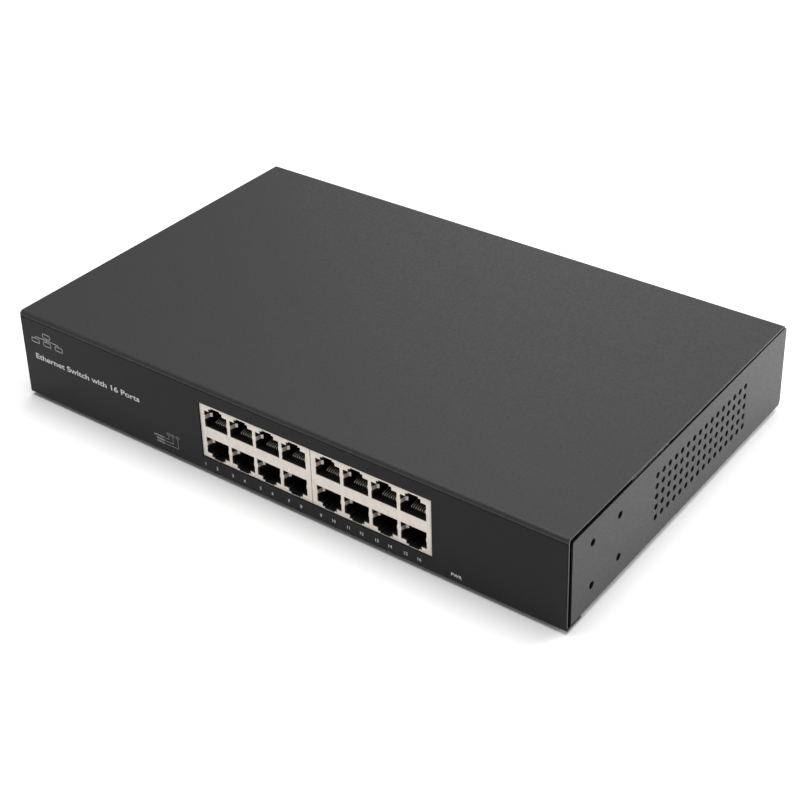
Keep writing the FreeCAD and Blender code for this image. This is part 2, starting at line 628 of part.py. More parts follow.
TRANSFORMER_X, TRANSFORMER_Y = 112.0, PSU_Y0 + 44.0


def transformer_core():
    """Ferrite frame of the supply transformer."""
    frame = centred(TRANSFORMER_X, TRANSFORMER_Y, PSU_TOP + 1, 26.0, 24.0, 18.0)
    return [frame.cut(centred(TRANSFORMER_X, TRANSFORMER_Y, PSU_TOP + 4.6, 18.0, 26.0, 10.8))]


def transformer_bobbin():
    """Wound bobbin through the core, on two pin rails."""
    rails = [centred(TRANSFORMER_X, TRANSFORMER_Y + s * 14.0, PSU_TOP, 20.0, 3.0, 5.0) for s in (-1, 1)]
    winding = centred(TRANSFORMER_X, TRANSFORMER_Y, PSU_TOP + 4.8, 17.6, 30.0, 10.4)
    return [joined([winding] + rails)]


def psu_bulk_capacitor():
    """Large input capacitor, lying on the board."""
    return [rod(123.0, PSU_Y0 + 61.0, PSU_TOP + 8.0, 8.0, 19.5, (0, 1, 0))]


def psu_output_capacitors():
    return [rod(x, PSU_Y0 + 14.0, PSU_TOP, 5.0, 18.0) for x in (105.0, 117.0)]


def psu_film_capacitor():
    """Mains suppression capacitor."""
    body = centred(119.0, PSU_Y0 + 86.5, PSU_TOP, 18.0, 7.6, 12.0)
    return [body.makeFillet(0.5, square_edges(body, "z"))]


def psu_choke():
    """Wound ring choke on edge, and the foot that it stands in."""
    foot = centred(101.0, PSU_Y0 + 71.0, PSU_TOP, 12.0, 12.0, 0.5)
    return [ring(101.0, PSU_Y0 + 66.0, PSU_TOP + 8.0, 7.5, 3.0, 10.0, (0, 1, 0)), foot]


def psu_fuse():
    """Glass fuse with two metal end caps, in one piece."""
    y, z = PSU_Y0 + 80.0, PSU_TOP + 3.0
    return [joined([rod(95.0, y, z, 2.2, 16.0, (1, 0, 0)), rod(95.0, y, z, 2.6, 4.0, (1, 0, 0)),
                    rod(107.0, y, z, 2.6, 4.0, (1, 0, 0))])]


def psu_heat_sink():
    """Bent plate that cools the switching transistor."""
    upright = block(HEAT_PLATE_X, HEAT_PLATE_X + 1.6, PSU_Y0 + 22.0, PSU_Y0 + 52.0, PSU_TOP, PSU_TOP + 20.0)
    shelf = block(HEAT_PLATE_X - 4.0, HEAT_PLATE_X + 1.6, PSU_Y0 + 22.0, PSU_Y0 + 52.0,
                  PSU_TOP + 20.0, PSU_TOP + 21.6)
    return [joined([upright, shelf])]


def psu_transistor():
    """Switching transistor on the heat sink, with three legs."""
    y = PSU_Y0 + 37.0
    body = block(HEAT_PLATE_X - 4.5, HEAT_PLATE_X, y - 5.0, y + 5.0, PSU_TOP + 3.5, PSU_TOP + 18.5)
    legs = [centred(HEAT_PLATE_X - 2.2, y + k * 2.54, PSU_TOP, 0.6, 0.8, 4.0) for k in (-1, 0, 1)]
    return [joined([body] + legs)]


def mains_plug():
    """Two-way mains plug and header at the supply board's rear edge."""
    return [centred(MAINS_X, MAINS_Y, PSU_TOP, 13.0, 7.0, 9.0)]


# ---------------------------------------------------------------- rear: power inlet, earth screw, leads
INLET_W, INLET_H, INLET_BODY_D = 27.6, 20.2, 18.0
SOCKET_W, SOCKET_H, SOCKET_D = 24.2, 16.6, 16.5
FLANGE_W, FLANGE_H, FLANGE_CORNER_R = 50.0, 23.0, 6.0
INLET_BACK_Y = BACK_Y + INLET_PROUD
RECESS_R, RECESS_D = 2.9, 1.2                   # recess for the screw heads in the flange
RECESS_Y = INLET_BACK_Y - RECESS_D
BLADE_PITCH, EARTH_RISE, BLADE_DROP = 7.0, 3.6, 0.8
BLADE_W, BLADE_H = 2.0, 4.0
BLADE_TIP_Y = INLET_BACK_Y - 2.5
BODY_FRONT_Y = REAR_WALL_Y - INLET_BODY_D
BLADE_TAIL_Y = BODY_FRONT_Y - 8.0
SLEEVE_L, SLEEVE_W, SLEEVE_H = 9.0, 3.8, 6.0
SLEEVE_END_Y = BLADE_TAIL_Y - 2.0


def blade_places():
    """Live, neutral and earth blades as (x, z)."""
    z = INLET_Z - BLADE_DROP
    return [(INLET_X - BLADE_PITCH, z), (INLET_X + BLADE_PITCH, z), (INLET_X, z + EARTH_RISE)]


def blade_bar(x, z, y0, y1):
    """The straight bar of one blade."""
    return block(x - BLADE_W / 2, x + BLADE_W / 2, y0, y1, z - BLADE_H / 2, z + BLADE_H / 2)


def inlet_outline(w, h, clip, y, depth):
    """A rectangle with its two upper corners clipped, extruded along Y."""
    x, z = INLET_X, INLET_Z
    points = [(x - w / 2, z - h / 2), (x + w / 2, z - h / 2), (x + w / 2, z + h / 2 - clip),
              (x + w / 2 - clip, z + h / 2), (x - w / 2 + clip, z + h / 2), (x - w / 2, z + h / 2 - clip)]
    return prism(points, "xz", y, depth)


def power_inlet():
    """Three-pole appliance inlet: flange outside the rear wall, body through it."""
    flange = block(INLET_X - FLANGE_W / 2, INLET_X + FLANGE_W / 2, REAR_WALL_Y, INLET_BACK_Y,
                   INLET_Z - FLANGE_H / 2, INLET_Z + FLANGE_H / 2)
    flange = flange.makeFillet(FLANGE_CORNER_R, square_edges(flange, "y"))
    body = inlet_outline(INLET_W, INLET_H, 5.0, BODY_FRONT_Y, INLET_BODY_D + 0.5)
    cuts = [inlet_outline(SOCKET_W, SOCKET_H, 4.2, INLET_BACK_Y - SOCKET_D, SOCKET_D + 1)]
    cuts += [rod(x, REAR_WALL_Y - 1, INLET_Z, PILOT_R, 6, (0, 1, 0)) for x in inlet_screw_places()]
    cuts += [rod(x, RECESS_Y, INLET_Z, RECESS_R, RECESS_D + 1, (0, 1, 0)) for x in inlet_screw_places()]
    cuts += [blade_bar(x, z, BODY_FRONT_Y - 1, INLET_BACK_Y) for x, z in blade_places()]
    return [without(joined([flange, body]), cuts)]


def inlet_blades():
    """Contact blades with chamfered tips, and flat tails for the leads."""
    blades = []
    for x, z in blade_places():
        blade = blade_bar(x, z, BODY_FRONT_Y, BLADE_TIP_Y)
        tip = [e for e in blade.Edges if abs(e.CenterOfMass.y - BLADE_TIP_Y) < 1e-6]
        tail = block(x - 0.4, x + 0.4, BLADE_TAIL_Y, BODY_FRONT_Y, z - BLADE_H / 2, z + BLADE_H / 2)
        blades.append(joined([blade.makeChamfer(0.6, tip), tail]))
    return blades


def inlet_screws():
    return [screw(x, RECESS_Y, INLET_Z, (0, 1, 0), SCREW_R, 6.0, 2.7, 1.2) for x in inlet_screw_places()]


def earth_screw():
    """Bonding screw of the rear wall."""
    return [screw(EARTH_X, REAR_WALL_Y + 0.6, EARTH_Z, (0, 1, 0), 2.0, 7.0, 3.4, 2.2, 1.0)]


def earth_washer():
    """Washer under the bonding screw's head."""
    return [ring(EARTH_X, REAR_WALL_Y, EARTH_Z, 4.4, 2.0 + FIT, 0.6, (0, 1, 0))]


EARTH_TAG_T = 1.0
EARTH_TAG_Y = REAR_WALL_Y - SHEET - EARTH_TAG_T
EARTH_TAG_TOP = EARTH_Z + 9.0


def earth_tag():
    """Ring terminal of the earth lead, with its crimp standing up."""
    eye = rod(EARTH_X, EARTH_TAG_Y, EARTH_Z, 4.0, EARTH_TAG_T, (0, 1, 0))
    neck = block(EARTH_X - 1.6, EARTH_X + 1.6, EARTH_TAG_Y, EARTH_TAG_Y + EARTH_TAG_T, EARTH_Z, EARTH_TAG_TOP)
    crimp = centred(EARTH_X, EARTH_TAG_Y - 1.0, EARTH_Z + 5.5, 3.6, 2.4, EARTH_TAG_TOP - EARTH_Z - 5.5)
    bore = rod(EARTH_X, EARTH_TAG_Y - 1, EARTH_Z, 2.0 + FIT, 3, (0, 1, 0))
    return [without(joined([eye, neck, crimp]), [bore])]


def earth_nut():
    """Nut on the bonding screw, inside the rear wall."""
    return [ring(EARTH_X, EARTH_TAG_Y - 3.2, EARTH_Z, 3.6, 2.0 + FIT, 3.2, (0, 1, 0))]


def terminal_sleeves():
    """Insulating sleeves of the push-on terminals, over the blade tails."""
    sleeves = []
    for x, z in blade_places():
        outer = centred(x, SLEEVE_END_Y + SLEEVE_L / 2, z - SLEEVE_H / 2, SLEEVE_W, SLEEVE_L, SLEEVE_H)
        slot = block(x - 0.5, x + 0.5, BLADE_TAIL_Y - 0.2, BODY_FRONT_Y + 2, z - 2.1, z + 2.1)
        sleeves.append(outer.cut(slot))
    return sleeves


MAINS_WIRE_D = 2.2


def mains_lead(name, blade, plug_x):
    """Lead from an inlet blade forward and down into the mains plug."""
    x, z = blade
    top = PSU_TOP + 9.0
    arch = top + 10
    between = 0.6 * x + 0.4 * plug_x
    route = [(x, SLEEVE_END_Y, z), (x, SLEEVE_END_Y - 6, z), (between, SLEEVE_END_Y - 10, arch),
             (plug_x, MAINS_Y, arch + 1), (plug_x, MAINS_Y, top)]
    return lead(name, route, MAINS_WIRE_D)


def live_lead():
    return [mains_lead("live_lead", blade_places()[0], MAINS_X - 3.5)]


def neutral_lead():
    return [mains_lead("neutral_lead", blade_places()[1], MAINS_X + 3.5)]


def earth_lead():
    """Lead from the earth blade round to the ring terminal on the rear wall."""
    x, z = blade_places()[2]
    y = SLEEVE_END_Y
    high = EARTH_TAG_TOP + 11
    tag_y = EARTH_TAG_Y - 1.1
    route = [(x, y, z), (x, y - 6, z), (x - 2, y - 8, high), (x - 22, y - 2, high + 1.5),
             (EARTH_X, tag_y, high), (EARTH_X, tag_y, EARTH_TAG_TOP)]
    return [lead("earth_lead", route, MAINS_WIRE_D)]


SUPPLY_WIRE_D, SUPPLY_WIRE_STEP = 1.6, 2.5


def supply_leads(which):
    """Leads that arch from the supply board's plug over to the main board's plug."""
    leads = []
    for k in which:
        y = HEADER_Y + (k - 1.5) * SUPPLY_WIRE_STEP
        low = BOARD_TOP + 1.5 + PLUG_H
        start = PSU_TOP + 1.5 + PLUG_H
        route = [(PSU_HEADER_X, y, start), (PSU_HEADER_X, y, start + 10), (HEADER_X, y, start + 12),
                 (HEADER_X, y, low)]
        leads.append(lead("supply_lead", route, SUPPLY_WIRE_D))
    return leads


def positive_leads():
    return supply_leads((0, 1))


def return_leads():
    return supply_leads((2, 3))


NODES = {
    "base_tray": base_tray,
    "top_cover": top_cover,
    "front_label": front_label,
    "rubber_feet": rubber_feet,
    "rear_cover_screws": rear_cover_screws,
    "flange_screws": flange_screws,
    "port_shield_left": lambda: jack_shield(0),
    "port_shield_right": lambda: jack_shield(1),
    "port_housing_left": lambda: jack_housing(0),
    "port_housing_right": lambda: jack_housing(1),
    "port_contacts_left": lambda: jack_contacts(0),
    "port_contacts_right": lambda: jack_contacts(1),
    "main_board": main_board,
    "board_standoffs": board_standoffs,
    "board_screws": board_screws,
    "isolation_transformers": isolation_transformers,
    "switch_chips": switch_chips,
    "thermal_pads": thermal_pads,
    "heat_sinks": heat_sinks,
    "board_capacitors": board_capacitors,
    "power_inductors": power_inductors,
    "crystals": crystals,
    "memory_chip": memory_chip,
    "supply_headers": supply_headers,
    "supply_plugs": supply_plugs,
    "port_lamps": port_lamps,
    "power_lamp": power_lamp,
    "psu_board": psu_board,
    "psu_insulator": psu_insulator,
    "psu_standoffs": psu_standoffs,
    "psu_screws": psu_screws,
    "transformer_core": transformer_core,
    "transformer_bobbin": transformer_bobbin,
    "psu_bulk_capacitor": psu_bulk_capacitor,
    "psu_output_capacitors": psu_output_capacitors,
    "psu_film_capacitor": psu_film_capacitor,
    "psu_choke": psu_choke,
    "psu_fuse": psu_fuse,
    "psu_heat_sink": psu_heat_sink,
    "psu_transistor": psu_transistor,
    "mains_plug": mains_plug,
    "power_inlet": power_inlet,
    "inlet_blades": inlet_blades,
    "inlet_screws": inlet_screws,
    "terminal_sleeves": terminal_sleeves,
    "earth_screw": earth_screw,
    "earth_washer": earth_washer,
    "earth_tag": earth_tag,
    "earth_nut": earth_nut,
    "live_lead": live_lead,
    "neutral_lead": neutral_lead,
    "earth_lead": earth_lead,
    "positive_leads": positive_leads,
    "return_leads": return_leads,
}


def main():
    os.makedirs("parts", exist_ok=True)
    for name, make in NODES.items():
        solids = [solid for shape in make() for solid in shape.Solids]
        broken = [solid for solid in solids if not solid.isValid() or solid.Volume <= 0]
        shape = solids[0] if len(solids) == 1 else Part.makeCompound(solids)
        shape.exportStep("parts/%s.step" % name)
        print("%-24s %3d solids, %d broken, %.1f mm3" % (name, len(solids), len(broken), shape.Volume))


main()
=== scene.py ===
"""Looks of the sixteen-port desktop network switch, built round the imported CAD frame. Metres."""
import json
import math

import bmesh
import bpy
from mathutils import Matrix, Quaternion, Vector


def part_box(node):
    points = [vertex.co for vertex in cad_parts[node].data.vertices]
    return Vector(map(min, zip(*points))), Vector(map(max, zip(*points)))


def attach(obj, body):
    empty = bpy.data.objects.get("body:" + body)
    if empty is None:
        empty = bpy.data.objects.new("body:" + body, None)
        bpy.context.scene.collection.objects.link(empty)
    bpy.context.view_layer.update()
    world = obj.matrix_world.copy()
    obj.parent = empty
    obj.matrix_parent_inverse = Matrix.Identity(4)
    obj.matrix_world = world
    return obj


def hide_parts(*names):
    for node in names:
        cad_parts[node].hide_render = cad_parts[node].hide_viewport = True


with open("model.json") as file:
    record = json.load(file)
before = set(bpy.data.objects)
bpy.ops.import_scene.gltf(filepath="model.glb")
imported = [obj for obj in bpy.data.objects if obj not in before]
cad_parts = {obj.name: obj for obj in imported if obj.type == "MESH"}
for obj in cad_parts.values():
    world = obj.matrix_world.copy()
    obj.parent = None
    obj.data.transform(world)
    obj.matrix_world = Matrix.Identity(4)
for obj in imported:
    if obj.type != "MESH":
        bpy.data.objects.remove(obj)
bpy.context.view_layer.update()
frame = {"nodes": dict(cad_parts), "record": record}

MM = 0.001
ROOT = "root"
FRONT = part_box("front_label")[0].y              # outer face of the front film
LEFT_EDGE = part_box("front_label")[0].x          # left edge of the film
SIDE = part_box("base_tray")[1].x                 # outer face of the right side wall
CASE_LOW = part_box("top_cover")[0].z             # lowest face of the case, above its feet
CORNERS = ((-1, -1), (1, -1), (1, 1), (-1, 1))  # of a rectangle, in halves of its sides

# Painted shade, darker and less glossy, at the hem (the front panel's foot below the film) and in the seams
# of the sides.
# Each pair is where a fade starts and where it ends.
HEM_SHADE_DEEP = (FRONT + 0.9 * MM, FRONT + 1.4 * MM)
HEM_SHADE_HIGH = (3.0 * MM, 3.5 * MM)
HEM_SHADE_STRENGTH = 0.75
SEAM_SHADE_ZONE = (SIDE - 3.5 * MM, SIDE - 2.5 * MM)  # out from the middle of the case, both ways
SEAM_SHADE_REACH, SEAM_SHADE_DEPTH = 2.6 * MM, 1.6
PAINT_SPECULAR = 0.37

# The contacts have a painted highlight at their tips and painted shade further in.
TIP_HIGHLIGHT_ZONE = (FRONT + 4.4 * MM, FRONT + 6.5 * MM)
INNER_SHADE_TONE = 0.18

HOLLOW_SHADE_REACH = 5 * MM                          # hollows narrower than this get painted shade on plated sheet


# ---------------------------------------------------------------- material helpers
class Shader:
    """A new material with a Principled shader and short ways to add nodes to it."""

    def __init__(self, name, colour, roughness, **settings):
        self.material = bpy.data.materials.new(name)
        self.material.use_nodes = True
        self.tree = self.material.node_tree
        self.bsdf = self.tree.nodes["Principled BSDF"]
        self.bsdf.inputs["Base Color"].default_value = (*colour, 1)
        self.bsdf.inputs["Roughness"].default_value = roughness
        for key, value in settings.items():
            self.bsdf.inputs[key.replace("_", " ")].default_value = value
        self.where = self.tree.nodes.new("ShaderNodeTexCoord").outputs["Object"]

    def link(self, output, socket):
        self.tree.links.new(output, socket)

    def set(self, socket, output):
        """Drives a socket of the Principled shader."""
        self.link(output, self.bsdf.inputs[socket])

    def along(self, axis):
        """The place along one axis of the frame."""
        parts = self.tree.nodes.new("ShaderNodeSeparateXYZ")
        self.link(self.where, parts.inputs["Vector"])
        return parts.outputs[axis]

    def stretched(self, scale):
        """Object coordinates multiplied by a vector, for grain that runs one way."""
        mapping = self.tree.nodes.new("ShaderNodeMapping")
        mapping.inputs["Scale"].default_value = scale
        self.link(self.where, mapping.inputs["Vector"])
        return mapping.outputs["Vector"]

    def noise(self, size, detail=2.0, vector=None):
        """Noise whose blotches are about size metres across."""
        node = self.tree.nodes.new("ShaderNodeTexNoise")
        node.inputs["Scale"].default_value = 1 / size
        node.inputs["Detail"].default_value = detail
        self.link(vector or self.where, node.inputs["Vector"])
        return node.outputs["Fac"]

    def cells(self, size):
        """Rounded cells about size metres across."""
        node = self.tree.nodes.new("ShaderNodeTexVoronoi")
        node.feature = "SMOOTH_F1"
        node.inputs["Scale"].default_value = 1 / size
        self.link(self.where, node.inputs["Vector"])
        return node.outputs["Distance"]

    def openness(self, reach, depth):
        """One in the open, less in gaps and holes narrower than reach metres."""
        shade = self.tree.nodes.new("ShaderNodeAmbientOcclusion")
        shade.inputs["Distance"].default_value = reach
        power = self.tree.nodes.new("ShaderNodeMath")
        power.operation = "POWER"
        power.inputs[1].default_value = depth
        self.link(shade.outputs["AO"], power.inputs[0])
        return power.outputs["Value"]

    def combined(self, operation, *values):
        """One value made from others by an arithmetic operation."""
        node = self.tree.nodes.new("ShaderNodeMath")
        node.operation = operation
        for value, socket in zip(values, node.inputs):
            self.link(value, socket)
        return node.outputs["Value"]

    def spread(self, value, low, high, out_low, out_high):
        """Maps a value from one range to another, and keeps it inside that."""
        node = self.tree.nodes.new("ShaderNodeMapRange")
        limits = (("From Min", low), ("From Max", high), ("To Min", out_low), ("To Max", out_high))
        for key, number in limits:
            node.inputs[key].default_value = number
        self.link(value, node.inputs["Value"])
        return node.outputs["Result"]

    def patchy(self, value, out_low, out_high):
        """The middle of a noise's range, spread over a range of roughness."""
        return self.spread(value, 0.3, 0.7, out_low, out_high)

    def ramp(self, value, stops):
        """Colour ramp with (position, colour) stops."""
        node = self.tree.nodes.new("ShaderNodeValToRGB")
        while len(node.color_ramp.elements) < len(stops):
            node.color_ramp.elements.new(0.5)
        for element, (position, colour) in zip(node.color_ramp.elements, stops):
            element.position = position
            element.color = (*colour, 1)
        self.link(value, node.inputs["Fac"])
        return node.outputs["Color"]

    def mottled(self, value, colour, amount):
        """A colour that runs from a little darker to a little lighter with a noise."""
        dark = tuple(part * (1 - amount) for part in colour)
        light = tuple(part * (1 + amount) for part in colour)
        return self.ramp(value, [(0.3, dark), (0.7, light)])

    def dimmed(self, colour, by):
        """A colour multiplied by a value."""
        mix = self.tree.nodes.new("ShaderNodeMix")
        mix.data_type = "RGBA"
        mix.blend_type = "MULTIPLY"
        mix.inputs["Factor"].default_value = 1
        self.link(colour, mix.inputs["A"])
        self.link(by, mix.inputs["B"])
        return mix.outputs["Result"]

    def bump(self, height, distance, strength, below=None):
        """Bump of that many metres from a height value, on top of an earlier one."""
        node = self.tree.nodes.new("ShaderNodeBump")
        node.inputs["Strength"].default_value = strength
        node.inputs["Distance"].default_value = distance
        self.link(height, node.inputs["Height"])
        if below is not None:
            self.link(below, node.inputs["Normal"])
        return node.outputs["Normal"]


def powder_coat(name, colour):
    """Fine textured powder coat: a tight orange peel with speckled gloss, with painted shade in the side
    seams and at the front panel's foot.
    """
    look = Shader(name, colour, 0.5)
    grain = look.noise(0.42 * MM, 3)
    # Painted shade: by place at the hem, and from ambient occlusion in the side seams; it lowers colour and
    # gloss.
    front_shade = look.spread(look.along("Y"), *HEM_SHADE_DEEP, HEM_SHADE_STRENGTH, 0)
    hem_shade = look.combined("MULTIPLY", front_shade, look.spread(look.along("Z"), *HEM_SHADE_HIGH, 1, 0))
    side_shade_mask = look.spread(look.combined("ABSOLUTE", look.along("X")), *SEAM_SHADE_ZONE, 0, 1)
    crevice_shade = look.spread(look.openness(SEAM_SHADE_REACH, SEAM_SHADE_DEPTH), 0, 1, 1, 0)
    seam_shade = look.combined("MULTIPLY", side_shade_mask, crevice_shade)
    unshaded = look.spread(look.combined("MAXIMUM", hem_shade, seam_shade), 0, 1, 1, 0)
    look.set("Base Color", look.dimmed(look.mottled(grain, colour, 0.22), unshaded))
    look.set("Specular IOR Level", look.spread(unshaded, 0, 1, 0, PAINT_SPECULAR))
    look.set("Roughness", look.patchy(look.noise(0.8 * MM), 0.42, 0.6))
    peel = look.bump(look.cells(0.75 * MM), 0.05 * MM, 0.5)
    look.set("Normal", look.bump(grain, 0.06 * MM, 0.55, below=peel))
    return look.material


def printed_film(name, colour):
    """Smooth screen-printed film with a faint waviness."""
    look = Shader(name, colour, 0.36, Specular_IOR_Level=0.1)
    look.set("Base Color", look.mottled(look.noise(9 * MM, 3), colour, 0.05))
    look.set("Roughness", look.patchy(look.noise(2.5 * MM, 3), 0.3, 0.38))
    look.set("Normal", look.bump(look.noise(0.25 * MM), 0.006 * MM, 0.4))
    return look.material


def plated(name, colour, roughness, grain=(1, 1, 1), metallic=1.0, hollow_shade=0.0):
    """Rolled and plated sheet: grain along one way, patches in the gloss, painted shade where it's
    sheltered.
    """
    look = Shader(name, colour, roughness, Metallic=metallic)
    streaks = look.noise(0.5 * MM, 3, look.stretched(grain))
    tone = look.mottled(look.noise(3.5 * MM, 3), colour, 0.06)
    # Painted shade: darker in hollows, from ambient occlusion.
    if hollow_shade:
        tone = look.dimmed(tone, look.openness(HOLLOW_SHADE_REACH, hollow_shade))
    look.set("Base Color", tone)
    look.set("Roughness", look.patchy(streaks, roughness - 0.06, roughness + 0.08))
    look.set("Normal", look.bump(streaks, 0.006 * MM, 0.5))
    return look.material


def contact_wire(name, colour):
    """Spring wire gilded, with a painted highlight at its front end and painted shade further in."""
    look = Shader(name, colour, 0.34)
    tone = look.mottled(look.noise(1.5 * MM), colour, 0.08)
    # Painted highlight and shade: the colour is full at the tips and darker further in.
    tip_highlight = look.spread(look.along("Y"), *TIP_HIGHLIGHT_ZONE, 1, INNER_SHADE_TONE)
    look.set("Base Color", look.dimmed(tone, tip_highlight))
    look.set("Roughness", look.patchy(look.noise(0.3 * MM), 0.28, 0.4))
    return look.material


def moulded(name, colour, roughness, size=0.35, depth=0.02):
    """Moulded plastic or rubber with a fine spark-eroded grain, size and depth in millimetres."""
    look = Shader(name, colour, roughness)
    look.set("Base Color", look.mottled(look.noise(4 * size * MM, 3), colour, 0.12))
    look.set("Roughness", look.patchy(look.noise(2 * size * MM), roughness - 0.07, roughness + 0.07))
    look.set("Normal", look.bump(look.noise(size * MM, 3), depth * MM, 0.5))
    return look.material


def ink(name, colour):
    """Screen-printed ink."""
    return moulded(name, colour, 0.5, size=0.3, depth=0.004)


def clear(name, colour, roughness, transmission):
    """Clear or milky moulding."""
    look = Shader(name, colour, roughness, Transmission_Weight=transmission)
    look.set("Roughness", look.patchy(look.noise(0.6 * MM), roughness, roughness + 0.1))
    look.set("Normal", look.bump(look.noise(0.3 * MM), 0.004 * MM, 0.4))
    return look.material


def circuit_laminate(name, mask, copper):
    """Solder mask over etched copper: straight tracks read through as slightly lighter bands."""
    look = Shader(name, mask, 0.38, Coat_Weight=0.3)
    tracks = look.noise(1.2 * MM, 1, look.stretched((1, 0.06, 1)))
    look.set("Base Color", look.ramp(tracks, [(0.48, mask), (0.53, copper)]))
    look.set("Normal", look.bump(tracks, 0.03 * MM, 0.6))
    return look.material


# ---------------------------------------------------------------- materials, one for each slot
def case_materials():
    """The case, its film and what fastens it."""
    return {
        "case_paint": powder_coat("case powder coat", (0.019, 0.019, 0.0192)),
        "front_film": printed_film("front film", (0.0138, 0.0138, 0.0156)),
        "foot_rubber": moulded("foot rubber", (0.02, 0.02, 0.02), 0.75, size=0.4, depth=0.05),
        "black_screws": plated("black screws", (0.06, 0.06, 0.062), 0.38),
        "zinc_screws": plated("zinc screws", (0.62, 0.62, 0.60), 0.3),
    }


def jack_materials():
    """The two jack blocks."""
    return {
        "shield_plating": plated("shield plating", (0.72, 0.655, 0.59), 0.42, grain=(0.15, 1, 1),
                                 metallic=0.55, hollow_shade=1.7),
        "socket_plastic": moulded("socket plastic", (0.008, 0.008, 0.008), 0.42, size=0.3, depth=0.01),
        "contact_gold": contact_wire("contact gold", (1.0, 0.94, 0.8)),
    }


def board_materials():
    """The boards and what stands on them."""
    return {
        "board_laminate": circuit_laminate("board laminate", (0.012, 0.075, 0.035), (0.03, 0.14, 0.06)),
        "chip_epoxy": moulded("chip epoxy", (0.02, 0.02, 0.02), 0.55),
        "pad_silicone": moulded("pad silicone", (0.35, 0.37, 0.4), 0.7),
        "sink_aluminium": plated("sink aluminium", (0.75, 0.75, 0.76), 0.4, grain=(1, 0.05, 1)),
        "capacitor_can": moulded("capacitor sleeve", (0.012, 0.014, 0.02), 0.6, size=0.4, depth=0.01),
        "ferrite": moulded("ferrite", (0.05, 0.05, 0.055), 0.6, size=0.5, depth=0.03),
        "winding_tape": moulded("winding tape", (0.75, 0.5, 0.06), 0.35),
        "film_case": moulded("film capacitor case", (0.75, 0.55, 0.12), 0.3),
        "crystal_can": plated("crystal can", (0.7, 0.7, 0.7), 0.28),
        "header_nylon": moulded("header nylon", (0.75, 0.73, 0.66), 0.5),
        "lamp_epoxy": clear("lamp epoxy", (0.85, 0.9, 0.85), 0.15, 0.7),
        "insulating_film": moulded("insulating film", (0.45, 0.42, 0.34), 0.4),
        "winding_copper": plated("winding copper", (0.7, 0.33, 0.15), 0.35, grain=(1, 0.2, 1)),
        "fuse_glass": clear("fuse glass", (0.9, 0.93, 0.9), 0.05, 0.9),
    }


def mains_materials():
    """The mains inlet and the leads."""
    return {
        "inlet_plastic": moulded("inlet plastic", (0.012, 0.012, 0.012), 0.4, size=0.4, depth=0.02),
        "blade_nickel": plated("blade nickel", (0.72, 0.7, 0.66), 0.28, grain=(1, 0.1, 1)),
        "sleeve_vinyl": clear("sleeve vinyl", (0.75, 0.72, 0.62), 0.35, 0.4),
        "lead_brown": moulded("brown lead", (0.1, 0.035, 0.012), 0.4),
        "lead_blue": moulded("blue lead", (0.015, 0.06, 0.35), 0.4),
        "lead_earth": moulded("earth lead", (0.12, 0.35, 0.03), 0.4),
        "lead_red": moulded("red lead", (0.45, 0.015, 0.015), 0.4),
        "lead_black": moulded("black lead", (0.012, 0.012, 0.012), 0.4),
    }


MATERIALS = {**case_materials(), **jack_materials(), **board_materials(), **mains_materials()}
LIGHT_INK = ink("print ink", (0.55, 0.56, 0.58))
GREY_INK = ink("grey print ink", (0.34, 0.34, 0.35))
DIM_INK = ink("dim print ink", (0.2, 0.2, 0.205))

SLOTS = {part["node"]: part["material_slot"] for part in frame["record"]["subparts"]}
for node, slot in SLOTS.items():
    for material_slot in frame["nodes"][node].material_slots:
        material_slot.link = "OBJECT"
        material_slot.material = MATERIALS[slot]


# ---------------------------------------------------------------- piece helpers
def placed(name, data):
    """A new object in the scene."""
    made = bpy.data.objects.new(name, data)
    bpy.context.scene.collection.objects.link(made)
    return made


def piece(name, mesh, material):
    """A finished mesh as a piece of the object."""
    made = placed(name, mesh)
    mesh.materials.clear()
    mesh.materials.append(material)
    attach(made, ROOT)
    return made


def baked(holder):
    """The holder's mesh with its modifiers applied; the holder goes away."""
    shown = holder.evaluated_get(bpy.context.evaluated_depsgraph_get())
    mesh = bpy.data.meshes.new_from_object(shown)
    bpy.data.objects.remove(holder)
    return mesh


# ---------------------------------------------------------------- edges rounded over
WELD = 0.002 * MM
FLAT_ANGLE, BEVEL_ANGLE, SHARP_ANGLE = map(math.radians, (0.5, 35, 50))
EDGE_WIDTHS = {                                 # millimetres
    "top_cover": 0.14,
    "base_tray": 0.12,
    "front_label": 0.06,
    "port_shield_left": 0.05,
    "port_shield_right": 0.05,
    "power_inlet": 0.25,
}


def cleaned(mesh):
    """A copy of a mesh with its flat faces joined up, so that a bevel runs along whole edges."""
    copy = mesh.copy()
    work = bmesh.new()
    work.from_mesh(copy)
    bmesh.ops.remove_doubles(work, verts=work.verts, dist=WELD)
    bmesh.ops.dissolve_limit(work, angle_limit=FLAT_ANGLE, verts=work.verts, edges=work.edges)
    bmesh.ops.connect_verts_concave(work, faces=work.faces)
    work.to_mesh(copy)
    work.free()
    return copy


def bevelled(mesh, width):
    """The mesh with its sharp edges rounded over."""
    holder = placed("bevelled", mesh)
    bevel = holder.modifiers.new("ease", "BEVEL")
    bevel.width = width
    bevel.segments = 2
    bevel.limit_method = "ANGLE"
    bevel.angle_limit = BEVEL_ANGLE
    rounded = baked(holder)
    rounded.set_sharp_from_angle(angle=SHARP_ANGLE)
    for face in rounded.polygons:
        face.use_smooth = True
    return rounded


def levelled(mesh):
    """The mesh with the shading of its large faces kept flat."""
    holder = placed("levelled", mesh)
    level = holder.modifiers.new("level", "WEIGHTED_NORMAL")
    level.keep_sharp = True
    level.weight = 50
    return baked(holder)


for node, width in EDGE_WIDTHS.items():
    rounded_mesh = levelled(bevelled(cleaned(frame["nodes"][node].data), width * MM))
    rounded_piece = piece(node + "_finish", rounded_mesh, MATERIALS[SLOTS[node]])
    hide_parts(node)


# ---------------------------------------------------------------- printing helpers
INK_T = 0.02 * MM
CAPITAL_SHARE = 0.7                             # height of a capital over the letter's size


